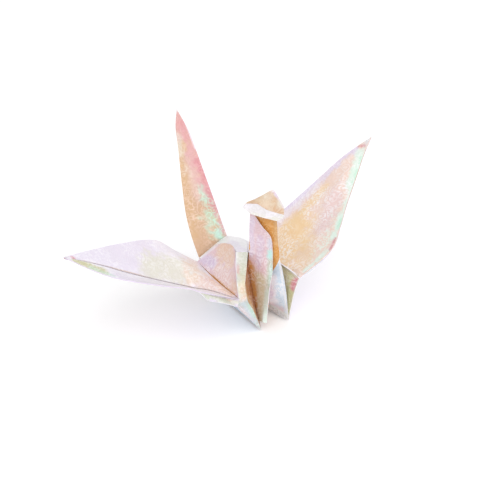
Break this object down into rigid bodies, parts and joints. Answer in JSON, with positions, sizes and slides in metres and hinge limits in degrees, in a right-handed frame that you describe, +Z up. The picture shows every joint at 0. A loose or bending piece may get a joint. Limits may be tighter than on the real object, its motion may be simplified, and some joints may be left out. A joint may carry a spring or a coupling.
{
  "type": "origami crane",
  "caption": "Small folded paper crane with spread wings, a raised pointed tail and a neck whose tip is folded over into a beak.",
  "frame": {"origin": "under the middle of the crane's box, on the surface that it stands on", "axes": "+Z up, -Y the way the neck faces, +Y towards the tail, X along the spread wings"},
  "size_m": [0.0658, 0.0332, 0.0309],
  "materials": {
    "pearl_paper": "pearly embossed film on paper, semi-gloss"
  },
  "bodies": {
    "root": {"folded_crane": "pearl_paper"}
  },
  "joints": []
}
